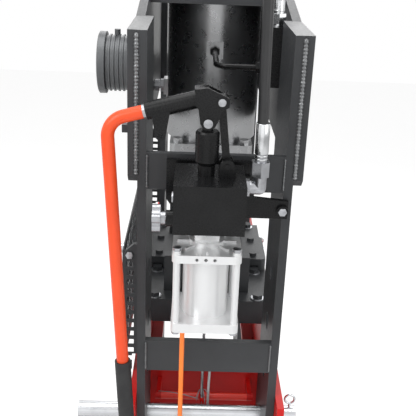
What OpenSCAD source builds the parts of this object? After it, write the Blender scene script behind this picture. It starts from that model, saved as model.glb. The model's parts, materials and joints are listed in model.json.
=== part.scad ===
// Shop press: a welded two-post hydraulic press with an air and hand pump.
// Frame: X across the press with the pump at plus X, Y depth with the front
// at minus Y, Z up. The origin is on the floor at the centre of the feet.

/* [Side frames] */
// Inner edge of each post from the centre
post_x0 = 280; // [270:1:300]
// Outer edge of each post from the centre
post_x1 = 445; // [440:1:460]
// Inner face of each post from the centre plane
post_y0 = 106; // [104:1:110]
// Thickness of the post plate
post_t = 14; // [12:1:14]
// Height of the top of the posts
post_top = 1552; // [1540:1:1570]
// Thickness of the crossbars
bar_t = 12; // [8:1:14]
// Bottom heights of the four crossbars
bar_z = [326, 655, 983, 1312];
// Heights of the crossbar plates
bar_h = 58; // [50:1:62]

/* [Feet] */
// Length of a foot plate, front to back
foot_l = 700; // [680:1:800]
// Thickness of the foot plate
foot_t = 12; // [10:1:14]
// Distance of the anchor holes from the centre plane
anchor_y = 310; // [300:1:318]
// Anchor hole radius
anchor_r = 9; // [7:0.5:11]
// Height of the gusset plates on the foot
gusset_h = 180; // [120:1:220]

/* [Bed pins] */
// Pin radius
pin_r = 15; // [12:0.5:15]
// Clearance of the pins in the post holes
pin_play = 1; // [0.6:0.1:1.2]
// Height of the pins that carry the bed
pin_z = 838; // [830:1:842]
// Spacing of the pin holes in height
hole_pitch = 100; // [90:1:100]
// Pin hole levels below the bed pins
holes_below = 4; // [2:1:4]
// Pin hole levels above the bed pins
holes_above = 3; // [1:1:3]

/* [Head] */
// Thickness of the head plates
head_t = 15; // [12:1:16]
// Half length of the head plates
head_x = 443; // [440:1:444]
// Bottom edge of the head plates
head_z0 = 1320; // [1316:1:1330]
// Half length of the level part at the top
head_flat = 95; // [80:1:110]
// Where the sloped top edge starts
head_kink = 284; // [270:1:300]
// Height of the level part at the top
head_top = 1590; // [1580:1:1600]

/* [Cylinder and ram] */
// Cylinder outside radius
cyl_r = 92.5; // [90:0.5:95]
// Cylinder bore radius
cyl_bore = 75; // [70:0.5:78]
// Cylinder bottom
cyl_z0 = 1283; // [1280:1:1290]
// Cylinder top
cyl_top = 1700; // [1690:1:1720]
// Ram rod radius
rod_r = 35; // [30:0.5:38]
// Running clearance of the rod and the piston
run_play = 0.1; // [0.05:0.01:0.1]
// Bottom of the ram nose at rest
nose_z = 1200; // [1190:1:1210]
// Stroke of the ram
stroke = 140; // [100:1:140]

/* [Pump] */
// Pump block, inner face
block_x0 = 468; // [466:1:470]
// Pump block, outer face
block_x1 = 570; // [560:1:575]
// Pump block bottom
block_z0 = 1291; // [1290:1:1292]
// Pump block top
block_z1 = 1363; // [1360:1:1366]
// Plunger radius
plunger_r = 10; // [8:0.5:11]
// Handle bar radius
handle_r = 9.5; // [8:0.5:9.5]
// Grip radius
grip_r = 12.5; // [12:0.5:14]
// Downward tilt of the handle socket at rest
socket_tilt = 15.2; // [14:0.1:16]
// Air motor tube radius
motor_r = 34.5; // [32:0.5:36]
// Side of the square air motor caps
motor_cap = 101; // [98:1:102]

/* [Bed] */
// Half length of the bed plates
bed_x = 480; // [470:1:490]
// Bed plate thickness
bed_t = 12; // [10:1:14]
// Gap between the bed plates and the posts
bed_gap = 0.5; // [0.4:0.1:0.8]
// Top of the bed
bed_top = 935; // [932:1:938]
// Bottom of the bed plates
bed_z0 = 775; // [770:1:790]
// Half length of the table block
table_x = 200; // [190:1:210]
// Half width of the table block
table_y = 132; // [125:1:132]
// Top of the table block
table_top = 986; // [980:1:990]
// Half length of the press plate
plate_x = 62; // [55:1:62]
// Top of the press plate
plate_top = 1015; // [1008:1:1020]
// Distance of the upright blocks from the centre
vee_x = 150; // [145:1:155]

/* [Guard] */
// Half length of the guard
guard_x = 379; // [360:1:379]
// Bottom edge of the guard
guard_z0 = 940; // [938:1:950]
// Sheet thickness
guard_t = 2; // [1.5:0.5:3]

/* [Gauge] */
// Height of the gauge centre
gauge_z = 1422; // [1418:1:1426]
// Radius of the gauge rim
gauge_r = 62.5; // [60:0.5:64]

/* [Hoses] */
// Hydraulic hose radius
hyd_r = 7.75; // [7:0.25:8]
// Air hose radius
air_r = 4; // [3.5:0.1:4]
// Turns that the air hose coil makes
coil_turns = 6.5; // [4.5:1:8.5]
// Spacing of the loops in the coil
coil_pitch = 8.9; // [8.7:0.1:9.5]
// Radius of the outermost loop
coil_r = 60; // [56:1:66]

/* [Hidden] */
$fn = 48;
$fa = 6;
post_cx = (post_x0 + post_x1) / 2;
post_y1 = post_y0 + post_t;
hole_r = pin_r + pin_play;
head_y1 = post_y1 + head_t;
bed_y0 = post_y1 + bed_gap;
bed_y1 = bed_y0 + bed_t;
notch_r = pin_r + 0.3;
pump_x = 516;
plunger_y = -16;
plunger_pin = [-16, 1441];
link_top = [2, 1471];
link_bot = [13, 1380];
socket_mouth = [-102.5, 1452.4];
motor_x = 509.5;
motor_y = -11;
guard_y0 = -150;
guard_y1 = -122;
guard_top = 1176;
guard_hinge = [-137, 1172];
lug_x0 = guard_x + 2;
lug_x1 = guard_x + 10;
bail_x = 320;
bail_z = 842;
rope_x = 340;
rope_y = -5;
rope_top = 1322;
gauge_line_z = 1379;
port_x = 258;
port_y = 100;
elbow_x = 515;
elbow_y = 61;
elbow_z = 1345;
hose_y = -44;
hose_x = 500;

// A box between two corners.
module bx(x0, x1, y0, y1, z0, z1) {
  translate([x0, y0, z0])
    cube([x1 - x0, y1 - y0, z1 - z0]);
}

// Cylinders along each axis, from one coordinate to another.
module cyx(x0, x1, y, z, r) {
  translate([x0, y, z])
    rotate([0, 90, 0])
      cylinder(h = x1 - x0, r = r);
}

module cyy(x, y0, y1, z, r) {
  translate([x, y1, z])
    rotate([90, 0, 0])
      cylinder(h = y1 - y0, r = r);
}

module cyz(x, y, z0, z1, r) {
  translate([x, y, z0])
    cylinder(h = z1 - z0, r = r);
}

// A hexagon bar along Z or Y, given by its width across corners.
module hexz(x, y, z0, z1, r) {
  translate([x, y, z0])
    cylinder(h = z1 - z0, r = r, $fn = 6);
}

module hexy(x, y0, y1, z, r) {
  translate([x, y1, z])
    rotate([90, 0, 0])
      cylinder(h = y1 - y0, r = r, $fn = 6);
}

// A plate in the side view: points are [y, z], thickness runs along X.
module side_plate(x0, x1, pts) {
  translate([x0, 0, 0])
    rotate([90, 0, 90])
      linear_extrude(height = x1 - x0)
        polygon(pts);
}

// A plate in the front view: points are [x, z], thickness runs along Y.
module front_plate(y0, y1, pts) {
  translate([0, y1, 0])
    rotate([90, 0, 0])
      linear_extrude(height = y1 - y0)
        polygon(pts);
}

// A rectangle with rounded corners.
module rounded(w, l, r) {
  union() {
    square([w - 2 * r, l], center = true);
    square([w, l - 2 * r], center = true);
    for (sx = [-1, 1]) {
      for (sy = [-1, 1]) {
        translate([sx * (w / 2 - r), sy * (l / 2 - r)])
          circle(r = r);
      }
    }
  }
}

// Vector helpers for the swept hoses.
function unit(v) = v / norm(v);
function tangent(p, i) =
  unit(p[min(i + 1, len(p) - 1)] - p[max(i - 1, 0)]);
function ring(c, t, up, r, n) =
  let (a = unit(cross(t, up)), b = cross(a, t))
  [for (k = [0 : n - 1]) c + r * (a * cos(360 * k / n) + b * sin(360 * k / n))];

// A tube with n sides along the points p. Ends are set square to end_t.
module sweep(p, r, n, up, t0, t1) {
  m = len(p);
  pts = [for (i = [0 : m - 1])
    let (t = i == 0 ? t0 : (i == m - 1 ? t1 : tangent(p, i)))
    each ring(p[i], t, up, r, n)];
  sides = [for (i = [0 : m - 2]) for (k = [0 : n - 1])
    let (a = i * n + k, b = i * n + (k + 1) % n)
    each [[a, b, b + n], [a, b + n, a + n]]];
  cap0 = [for (k = [1 : n - 2]) [0, k + 1, k]];
  e = (m - 1) * n;
  cap1 = [for (k = [1 : n - 2]) [e, e + k, e + k + 1]];
  polyhedron(points = pts, faces = concat(sides, cap0, cap1), convexity = 10);
}

// Four post plates with the row of pin holes and the guard's hinge lug.
module post(sy) {
  difference() {
    bx(post_x0, post_x1, min(sy * post_y0, sy * post_y1), max(sy * post_y0, sy * post_y1), foot_t, post_top);
    for (k = [-holes_below : holes_above]) {
      cyy(363, -post_y1 - 1, post_y1 + 1, pin_z + k * hole_pitch, hole_r);
    }
  }
}

// Front post with the hinge lug of the guard.
module front_post() {
  union() {
    post(-1);
    difference() {
      side_plate(lug_x0, lug_x1, [
        [-post_y1 + 1, 1152], [-post_y1 + 1, 1192], [-130, 1192],
        [-143, 1180], [-146, 1172], [-143, 1164]
      ]);
      cyx(lug_x0 - 1, lug_x1 + 1, guard_hinge[0], guard_hinge[1], 4.08);
    }
  }
}

module post_rf() {
  color("#3b3d40")
    front_post();
}

module post_rr() {
  color("#3b3d40")
    post(1);
}

module post_lf() {
  color("#3b3d40")
    mirror([1, 0, 0])
      front_post();
}

module post_lr() {
  color("#3b3d40")
    mirror([1, 0, 0])
      post(1);
}

// Crossbars weld the two posts of a side together.
module bar(k) {
  bx(post_x1 - bar_t, post_x1, -post_y0, post_y0, bar_z[k], bar_z[k] + bar_h);
}

module bar_r1() { color("#3b3d40") bar(0); }
module bar_r2() { color("#3b3d40") bar(1); }
module bar_r3() { color("#3b3d40") bar(2); }
module bar_r4() { color("#3b3d40") bar(3); }
module bar_l1() { color("#3b3d40") mirror([1, 0, 0]) bar(0); }
module bar_l2() { color("#3b3d40") mirror([1, 0, 0]) bar(1); }
module bar_l3() { color("#3b3d40") mirror([1, 0, 0]) bar(2); }
module bar_l4() { color("#3b3d40") mirror([1, 0, 0]) bar(3); }

// A foot plate with anchor holes and four gussets against the posts.
module foot() {
  difference() {
    union() {
      bx(post_x0, post_x1, -foot_l / 2, foot_l / 2, 0, foot_t);
      for (x = [post_x0 + 8, post_x1 - 18]) {
        for (s = [-1, 1]) {
          side_plate(x, x + 10, [
            [s * post_y1, foot_t - 1], [s * 290, foot_t - 1], [s * 290, foot_t + 18],
            [s * (post_y1 + 24), foot_t + gusset_h], [s * post_y1, foot_t + gusset_h]
          ]);
        }
      }
    }
    for (s = [-1, 1]) {
      cyz(post_cx, s * anchor_y, -1, foot_t + 1, anchor_r);
    }
  }
}

module foot_r() { color("#3b3d40") foot(); }
module foot_l() { color("#3b3d40") mirror([1, 0, 0]) foot(); }

// Angle irons tie the two sides together near the floor.
module tie() {
  union() {
    bx(-post_x1, post_x1, post_y0 - 8, post_y0, 80, 140);
    bx(-post_x1, post_x1, post_y0 - 55, post_y0 - 4, 132, 140);
    for (x = [-post_cx - 45, -post_cx + 45, post_cx - 45, post_cx + 45]) {
      hexy(x, post_y0 - 16, post_y0 - 7, 108, 12);
    }
  }
}

module tie_front() { color("#3b3d40") mirror([0, 1, 0]) tie(); }
module tie_rear() { color("#3b3d40") tie(); }

// Head plates: level at the ends, rising to the cylinder in the middle.
head_pts = [
  [-head_x, head_z0 + 12], [-head_x + 12, head_z0], [head_x - 12, head_z0],
  [head_x, head_z0 + 12], [head_x, post_top], [head_kink, post_top],
  [head_flat, head_top], [-head_flat, head_top], [-head_kink, post_top],
  [-head_x, post_top]
];

module head_front() {
  color("#3b3d40")
    difference() {
      union() {
        front_plate(-head_y1, -post_y1, head_pts);
        bx(424, 436, -head_y1 - 9, -head_y1, 1398, 1410);
      }
      cyy(0, -head_y1 - 1, -post_y1 + 1, gauge_line_z, 12);
    }
}

module head_rear() {
  color("#3b3d40")
    front_plate(post_y1, head_y1, head_pts);
}

// The plate between the head plates that the cylinder hangs from.
module head_seat() {
  color("#3b3d40")
    difference() {
      bx(-150, 150, -post_y1, post_y1, 1560, 1578);
      cyz(0, 0, 1550, 1590, cyl_r + 0.3);
    }
}

// A flat bar between the posts that the lifting rope hangs from.
module rope_bar() {
  color("#3b3d40")
    bx(rope_x - 10, rope_x + 10, -post_y0, post_y0, rope_top, rope_top + 12);
}

// Cylinder: a collar carries it on its seat, with two ports.
module cylinder_tube() {
  color("#8d9096")
    difference() {
      union() {
        rotate_extrude($fn = 96)
          polygon([
            [0, cyl_z0], [cyl_r, cyl_z0], [cyl_r, 1578], [115, 1578],
            [115, 1600], [cyl_r, 1600], [cyl_r, cyl_top - 8],
            [cyl_r - 8, cyl_top], [0, cyl_top]
          ]);
        bx(80, 100, -16, 16, 1454, 1486);
        bx(-16, 16, -100, -80, 1363, 1395);
      }
      cyz(0, 0, cyl_z0 - 1, 1650, cyl_bore);
    }
}

// Bottom flange of the cylinder with four screws.
module cyl_flange() {
  color("#6f7278")
    difference() {
      union() {
        translate([0, 0, cyl_z0 - 21])
          linear_extrude(height = 21)
            rounded(200, 166, 12);
        for (x = [-84, 84]) {
          for (y = [-67, 67]) {
            hexz(x, y, cyl_z0 - 1, cyl_z0 + 9, 10);
          }
        }
      }
      cyz(0, 0, cyl_z0 - 30, cyl_z0 + 30, rod_r + run_play);
    }
}

// Ram rod with its piston and a chamfered nose.
module ram() {
  color("#c9ccd0")
    rotate_extrude($fn = 96)
      polygon([
        [0, nose_z], [rod_r - 4, nose_z], [rod_r, nose_z + 4],
        [rod_r, 1430], [cyl_bore - run_play, 1430],
        [cyl_bore - run_play, 1490], [0, 1490]
      ]);
}

// Gauge: ribbed round case, bezel, seat for the lens and a vent.
module gauge_body() {
  color("#55585c")
    difference() {
      union() {
        translate([0, -head_y1, gauge_z])
          rotate([90, 0, 0])
            rotate_extrude($fn = 96)
              polygon(concat(
                [[0, 0], [22, 0], [22, 15], [56, 15]],
                [for (k = [0 : 6]) each [
                  [57.5, 18 + k * 9], [57.5, 21 + k * 9],
                  [55, 22 + k * 9], [55, 26 + k * 9]
                ]],
                [[gauge_r, 82], [gauge_r, 95], [gauge_r - 3, 97], [0, 97]]
              ));
        cyz(0, -195, gauge_z + 50, gauge_z + 68, 6);
        hexy(0, -154, -150, gauge_line_z, 12);
      }
      cyy(0, -240, -228, gauge_z, 57);
      cyy(0, -229, -218, gauge_z, 54);
      cyy(0, -219, -212, gauge_z, 2.06);
    }
}

module gauge_lens() {
  color("#dfe6ea")
    cyy(0, -230, -228, gauge_z, 56.7);
}

// Needle: a long point and a counterweight on a spindle.
module gauge_needle() {
  color("#1c1c1c")
    union() {
      cyy(0, -225, -221, gauge_z, 5);
      cyy(0, -222, -213, gauge_z, 2);
      translate([0, 0, gauge_z])
        rotate([0, -135, 0])
          front_plate(-224, -222, [[-2.5, -16], [2.5, -16], [0.6, 46], [-0.6, 46]]);
    }
}

// Pressure line from the gauge to the cylinder, with two hex fittings.
module gauge_line() {
  color("#b9bcc0")
    union() {
      cyy(0, -150, -100, gauge_line_z, 7);
      hexy(0, -118, -109, gauge_line_z, 12.5);
      hexy(0, -107, -100, gauge_line_z, 14);
    }
}

// Bracket: a plate on the top crossbar with an arm bolted to the rear post.
module pump_bracket() {
  color("#2b2c2e")
    union() {
      side_plate(post_x1, post_x1 + 8, [
        [-75, 1300], [-68, 1290], [30, 1272], [114, 1272], [114, 1301],
        [60, 1306], [60, 1363], [-75, 1363]
      ]);
      bx(post_x1 + 7, block_x0, -50, 30, 1300, 1355);
      cyx(post_x1 + 7, post_x1 + 14, 105, 1286, 9);
      bx(post_x1 + 8, post_x1 + 15, 40, 52, 1330, 1342);
    }
}

// Pump block with the lug for the link and the release valve boss.
module pump_block() {
  color("#2b2c2e")
    difference() {
      union() {
        bx(block_x0, block_x1, -61, 40, block_z0, block_z1);
        for (x = [pump_x - 16, pump_x + 8.3]) {
          side_plate(x, x + 7.7, [
            [2, block_z1 - 1], [26, block_z1 - 1], [24, 1380], [20, 1387],
            [13, 1390], [6, 1387], [2, 1380]
          ]);
        }
        cyx(pump_x - 18, pump_x + 18, link_bot[0], link_bot[1], 4);
        cyy(519, -72, -60, 1295, 12);
      }
      cyz(pump_x, plunger_y, 1340, block_z1 + 1, 9);
      cyy(519, -73, -58, 1295, 4.1);
      cyy(552, -62, -48, 1340, 6);
    }
}

// Plunger housing: a screwed neck and a wider barrel.
module plunger_housing() {
  color("#2f3033")
    translate([pump_x, plunger_y, 0])
      rotate_extrude($fn = 64)
        polygon([
          [plunger_r + 0.08, block_z1], [12, block_z1], [12, 1378], [15, 1382],
          [17, 1384], [17, 1425], [15, 1428], [plunger_r + 0.08, 1428]
        ]);
}

// Air motor: square caps, a tube, tie rods and a collar with a nut.
module cap_plate(z0, z1) {
  translate([motor_x, motor_y, z0])
    linear_extrude(height = z1 - z0)
      rounded(motor_cap, motor_cap, 9);
}

module motor_head() {
  color("#d9dbdd")
    difference() {
      union() {
        cap_plate(1242, 1254.5);
        cyz(motor_x, motor_y, 1254, 1262, 26);
        hexz(motor_x, motor_y, 1261, 1276, 21);
        cyz(motor_x, motor_y, 1275, block_z0, 15);
        for (a = [0 : 45 : 315]) {
          translate([motor_x, motor_y, 1254])
            rotate([0, 0, a])
              bx(20, 44, -1.5, 1.5, 0, 4);
        }
        for (x = [-43, 43]) {
          for (y = [-43, 43]) {
            cyz(motor_x + x, motor_y + y, 1254, 1260, 6);
          }
        }
      }
      for (y = [-25.3, -12.4, 0.5]) {
        cyx(motor_x + 40, motor_x + 52, y, 1248, 2.5);
      }
    }
}

module motor_tube() {
  color("#c7cacd")
    difference() {
      cyz(motor_x, motor_y, 1142.5, 1242, motor_r);
      cyz(motor_x, motor_y, 1146, 1238, motor_r - 3);
    }
}

module motor_base() {
  color("#d9dbdd")
    union() {
      cap_plate(1127.5, 1142.5);
      for (x = [-43.5, 43.5]) {
        for (y = [-43.5, 43.5]) {
          cyz(motor_x + x, motor_y + y, 1142, 1242, 5);
        }
      }
    }
}

// Hydraulic line: elbow, nut and ferrule on the pump side.
module hose_elbow() {
  color("#7d8085")
    union() {
      cyy(elbow_x, 40, elbow_y, elbow_z, 10);
      hexy(elbow_x, 40, 47, elbow_z, 13);
      translate([elbow_x, elbow_y, elbow_z])
        sphere(r = 10);
      cyz(elbow_x, elbow_y, elbow_z, 1364, 10);
      hexz(elbow_x, elbow_y, 1363, 1385, 14);
      cyz(elbow_x, elbow_y, 1384, 1397, 8.8);
    }
}

hyd_end = [port_x, port_y, 1590];
hyd_arc_r = (elbow_x - port_x) / 2;
hyd_arc_x = (elbow_x + port_x) / 2;
hyd_path = concat(
  [[elbow_x, elbow_y, 1397], [elbow_x, elbow_y, 1410]],
  [for (k = [1 : 8]) [elbow_x, elbow_y - k / 2, 1410 + k * 25]],
  [for (k = [1 : 23])
    let (a = k * 7.5)
    [hyd_arc_x + hyd_arc_r * cos(a),
     57 + (port_y - 57) * (1 - cos(a)) / 2,
     1612 + hyd_arc_r * sin(a)]],
  [[port_x, port_y, 1611], [port_x, port_y, 1600], hyd_end]
);

module hyd_hose() {
  color("#202123")
    sweep(hyd_path, hyd_r, 12, [0, 1, 0], [0, 0, 1], [0, 0, -1]);
}

module hose_ferrule() {
  color("#d5d8da")
    union() {
      cyz(port_x, port_y, 1560, 1590, 9);
      hexz(port_x, port_y, 1545, 1561, 13);
      cyz(port_x, port_y, 1540, 1546, 8);
    }
}

// Port block on the rear head plate, with the steel pipe to the cylinder.
module port_block() {
  color("#2b2c2e")
    union() {
      bx(238, 278, 78, post_y1, 1440, 1540);
      cyy(port_x, 20, 79, 1470, 5);
      translate([port_x - 20, 20, 1470])
        mirror([0, 1, 0])
          rotate_extrude(angle = 90)
            translate([20, 0])
              circle(r = 5);
      cyx(100, port_x - 20, 0, 1470, 5);
      hexy(port_x, 66, 79, 1470, 10);
      translate([100, 0, 1470])
        rotate([0, 90, 0])
          cylinder(h = 14, r = 10, $fn = 6);
    }
}

// Air hose: down from the motor to the floor, then into its coil.
hose_r2 = 40;
floor_z = air_r + 0.1;
air_path = concat(
  [[hose_x, hose_y, 1127.5], [hose_x, hose_y, 1119]],
  [for (k = [1 : 20]) [hose_x, hose_y, 1119 - k * 53]],
  [for (k = [0 : 9]) [hose_x, hose_y - hose_r2 + hose_r2 * cos(k * 10), floor_z + hose_r2 - hose_r2 * sin(k * 10)]],
  [[hose_x, -100, floor_z]]
);

module air_hose() {
  color("#ff8225")
    sweep(air_path, air_r, 8, [1, 0, 0], [0, 0, -1], [0, -1, 0]);
}

// The coil spirals in, climbs a layer as it turns back, and spirals out.
coil_x = hose_x + coil_r;
coil_y = -108;
layer = 2 * air_r + 0.7;
half = coil_turns / 2;
coil_n = 24;
function coil_rad(t) = coil_r - coil_pitch * (t < half ? t : coil_turns - t);
function coil_z(t) = floor_z + layer * min(1, max(0, (t - half + 0.25) * 2));
function coil_pt(t) = [
  coil_x + coil_rad(t) * cos(180 + 360 * t),
  coil_y + coil_rad(t) * sin(180 + 360 * t),
  coil_z(t)
];
coil_path = concat(
  [[hose_x, coil_y + 8, floor_z]],
  [for (k = [0 : coil_n * coil_turns]) coil_pt(k / coil_n)],
  [[coil_x + coil_r, coil_y + 8, floor_z + layer]]
);
coil_gap = min([for (i = [1 : len(coil_path) - 1]) for (j = [i + 12 : 4 : len(coil_path) - 1])
  norm(coil_path[i] - coil_path[j])]) - 2 * air_r;
echo(coil_gap = coil_gap);

module air_coil() {
  color("#ff8225")
    sweep(coil_path, air_r, 6, [0, 0, 1], [0, -1, 0], [0, 1, 0]);
}

module air_plug() {
  color("#c2c5c8")
    translate([coil_x + coil_r, coil_y + 8, floor_z + layer])
      rotate([-90, 0, 0])
        rotate_extrude($fn = 48)
          polygon([
            [0, 0], [6.5, 0], [6.5, 14], [8, 15], [8, 24], [5, 25],
            [5, 32], [6, 33], [6, 37], [4, 39], [4, 46], [0, 46]
          ]);
}

// Plunger: a rod with a rounded head for the rocker pin.
module plunger() {
  color("#b4b7bb")
    difference() {
      union() {
        cyz(pump_x, plunger_y, 1370, 1428, plunger_r);
        cyz(pump_x, plunger_y, 1427, 1436, 7.5);
        cyx(pump_x - 8, pump_x + 8, plunger_pin[0], plunger_pin[1], 10);
      }
      cyx(pump_x - 9, pump_x + 9, plunger_pin[0], plunger_pin[1], 5.05);
    }
}

// Rocker: two cheeks, their pins, the handle socket and the key lug.
module rocker() {
  color("#e8502c")
    difference() {
      union() {
        for (x = [pump_x - 13.3, pump_x + 8.3]) {
          side_plate(x, x + 5, [
            [-36, 1468], [-30, 1460], [-27, 1440], [-22, 1432], [-14, 1431],
            [-6, 1436], [4, 1459], [12, 1464], [13, 1476], [-18, 1490], [-34, 1487]
          ]);
        }
        bx(pump_x - 13.3, pump_x + 13.3, -36, -16, 1484, 1488);
        cyx(pump_x - 15, pump_x + 15, plunger_pin[0], plunger_pin[1], 5);
        cyx(pump_x - 15, pump_x + 15, link_top[0], link_top[1], 4);
        translate([pump_x, socket_mouth[0], socket_mouth[1]])
          rotate([90, 0, -90])
            rotate([0, 0, -socket_tilt])
              translate([-88, 0, 0])
                rotate([0, 90, 0])
                  cylinder(h = 88, r = 12.5);
        for (x = [pump_x - 11, pump_x + 7]) {
          side_plate(x, x + 4, [
            [-94, 1452], [-89, 1418], [-85, 1414.5], [-78, 1414.5],
            [-74.5, 1418], [-68, 1460]
          ]);
        }
      }
      cyx(pump_x - 12, pump_x + 12, -81.6, 1421, 3.5);
      translate([pump_x, socket_mouth[0], socket_mouth[1]])
        rotate([90, 0, -90])
          rotate([0, 0, -socket_tilt])
            translate([-62, 0, 0])
              rotate([0, 90, 0])
                cylinder(h = 90, r = handle_r + 0.1);
    }
}

// Handle: a bent bar from the socket down to the grip, in a side view that
// starts at the socket mouth and runs along the socket.
bend_r = 30;
bend_a = 77.75;
function tilt(v) = [
  pump_x,
  socket_mouth[0] - v[0] * cos(socket_tilt) - v[1] * sin(socket_tilt),
  socket_mouth[1] - v[0] * sin(socket_tilt) + v[1] * cos(socket_tilt)
];
handle_path = concat(
  [tilt([-62, 0]), tilt([-20, 0]), tilt([20, 0])],
  [for (k = [0 : 10])
    let (a = 90 - bend_a * k / 10)
    tilt([32.2 + bend_r * cos(a), -bend_r + bend_r * sin(a)])],
  [for (d = [20, 240, 478])
    let (c = cos(bend_a), s = sin(bend_a))
    tilt([32.2 + bend_r * s + d * c, -bend_r + bend_r * c - d * s])]
);

module handle() {
  color("#e8502c")
    sweep(
      handle_path, handle_r, 24, [1, 0, 0],
      unit(handle_path[1] - handle_path[0]),
      unit(handle_path[16] - handle_path[15])
    );
}

module grip() {
  color("#1d1d1f")
    translate([pump_x, socket_mouth[0], socket_mouth[1]])
      rotate([90, 0, -90])
        rotate([0, 0, -socket_tilt])
          translate([32.2, -bend_r, 0])
            rotate([0, 0, -bend_a])
              translate([0, bend_r, 0])
                rotate([0, 90, 0])
                  difference() {
                    translate([0, 0, 366])
                      cylinder(h = 118, r = grip_r);
                    translate([0, 0, 360])
                      cylinder(h = 118, r = handle_r + 0.1);
                  }
}

// Link between the block lug and the rocker, with open room at its top eye.
module link() {
  color("#8b8e92")
    difference() {
      union() {
        cyx(pump_x - 8, pump_x + 8, link_top[0], link_top[1], 9);
        cyx(pump_x - 8, pump_x + 8, link_bot[0], link_bot[1], 8);
        side_plate(pump_x - 6, pump_x + 6, [
          [link_bot[0] - 6, link_bot[1]], [link_bot[0] + 5, link_bot[1]],
          [link_top[0] + 5, link_top[1]], [link_top[0] - 6, link_top[1]]
        ]);
      }
      cyx(pump_x - 9, pump_x + 9, link_top[0], link_top[1], 6);
      cyx(pump_x - 9, pump_x + 9, link_bot[0], link_bot[1], 4.06);
    }
}

// Release knob with five lobes on a thin stem.
module release_knob() {
  color("#1d1d1f")
    union() {
      translate([519, -80, 1295])
        rotate([90, 0, 0])
          linear_extrude(height = 12)
            union() {
              circle(r = 16);
              for (a = [18 : 72 : 306]) {
                rotate(a)
                  translate([14, 0])
                    circle(r = 7);
              }
            }
      cyy(519, -81, -73, 1295, 10);
      cyy(519, -74, -59, 1295, 4);
    }
}

// Bed: two notched plates outside the posts, joined by end plates.
module bed_plate() {
  difference() {
    union() {
      bx(-bed_x, bed_x, bed_y0, bed_y1, bed_z0, bed_top);
      bx(-270, 270, 94, bed_y0 + 1, bed_z0, bed_z0 + 12);
    }
    for (x = [-363, 363]) {
      cyy(x, bed_y0 - 1, bed_y1 + 1, pin_z, notch_r);
      bx(x - notch_r, x + notch_r, bed_y0 - 1, bed_y1 + 1, bed_z0 - 1, pin_z);
    }
  }
}

module bed_front() { color("#c4180f") mirror([0, 1, 0]) bed_plate(); }
module bed_rear() { color("#c4180f") bed_plate(); }

// End plate of the bed with its lifting bail, a round bar on two arms.
module bed_end() {
  union() {
    bx(259, 270, -bed_y0, bed_y0, bed_z0 + 12, 910);
    cyy(bail_x, -94, 94, bail_z, 7);
    for (y = [-92, 84]) {
      bx(269, bail_x, y, y + 8, bail_z - 7, bail_z + 7);
    }
  }
}

module bed_end_r() {
  color("#c4180f")
    union() {
      bed_end();
      difference() {
        front_plate(rope_y - 4, rope_y + 4, [
          [bail_x, bail_z - 6], [rope_x + 8, bail_z - 4], [rope_x + 8, bail_z + 14],
          [rope_x - 8, bail_z + 14], [bail_x, bail_z + 6]
        ]);
        cyy(rope_x - 2, rope_y - 5, rope_y + 5, bail_z + 4, 4);
      }
    }
}

module bed_end_l() {
  color("#c4180f")
    mirror([1, 0, 0])
      bed_end();
}

module table() {
  color("#45474a")
    union() {
      bx(-table_x, table_x, -table_y, table_y, bed_top, table_top);
      for (x = [-185, -68, 68, 185]) {
        for (y = [-105, 105]) {
          hexz(x, y, table_top - 1, table_top + 10, 11);
        }
      }
    }
}

module press_plate() {
  color("#3a3c3f")
    union() {
      difference() {
        translate([0, 0, table_top])
          linear_extrude(height = plate_top - table_top)
            rounded(2 * plate_x - 2, 262, 10);
        for (x = [-68, 68]) {
          for (y = [-105, 105]) {
            cyz(x, y, table_top - 1, table_top + 14, 13);
          }
        }
      }
      for (x = [-40, 40]) {
        for (y = [-103, 103]) {
          hexz(x, y, plate_top - 1, plate_top + 7, 9);
        }
      }
    }
}

// Upright block with a V notch in its top edge.
module vee() {
  side_plate(vee_x - 12, vee_x + 12, [
    [-87, table_top], [87, table_top], [87, 1065], [34, 1065],
    [0, 1031], [-34, 1065], [-87, 1065]
  ]);
}

module vee_r() { color("#54575a") vee(); }
module vee_l() { color("#54575a") mirror([1, 0, 0]) vee(); }

// Bed pin with a cross hole and a spring clip behind.
module bed_pin() {
  union() {
    cyy(363, -235, 172, pin_z, pin_r);
    cyz(363, 160, pin_z - 26, pin_z + 24, 2.4);
    translate([363, 160, pin_z + 33])
      rotate([90, 0, 90])
        rotate_extrude()
          translate([9, 0])
            circle(r = 2.2);
  }
}

module pin_r_bar() { color("#d0d3d6") bed_pin(); }
module pin_l_bar() { color("#d0d3d6") mirror([1, 0, 0]) bed_pin(); }

// Guard: a perforated front sheet between two perforated sides.
module guard() {
  color("#3b3d40")
    difference() {
      bx(-guard_x, guard_x, guard_y0, guard_y0 + guard_t, guard_z0, guard_top);
      for (i = [-11 : 11]) {
        for (k = [0 : 4]) {
          bx(i * 32 - 12, i * 32 + 12, guard_y0 - 1, guard_y0 + guard_t + 1, 962 + k * 42, 990 + k * 42);
        }
      }
    }
}

// One side with its hinge pin, cut back where the bed plate lifts past it.
module guard_side() {
  difference() {
    union() {
      bx(guard_x - guard_t, guard_x, guard_y0 + guard_t, guard_y1, guard_z0, guard_top);
      cyx(guard_x - 1, lug_x1 + 2, guard_hinge[0], guard_hinge[1], 4);
    }
    for (k = [0 : 11]) {
      bx(guard_x - guard_t - 1, guard_x + 1, -143, -131, 958 + k * 17, 968 + k * 17);
    }
    bx(guard_x - guard_t - 1, guard_x + 1, -bed_y1 - 1.5, guard_y1 + 1, guard_z0 - 1, bed_top + 37);
  }
}

module guard_side_r() {
  color("#3b3d40")
    guard_side();
}

module guard_side_l() {
  color("#3b3d40")
    mirror([1, 0, 0])
      guard_side();
}

// Rope from the bar under the head down to the eye of the bail.
rope_path = [for (k = [0 : 12]) [rope_x - 2, rope_y, 856 + k * (rope_top - 856) / 12]];

module lift_rope() {
  color("#9a9c9e")
    sweep(rope_path, 3, 8, [0, 1, 0], [0, 0, 1], [0, 0, 1]);
}

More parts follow.
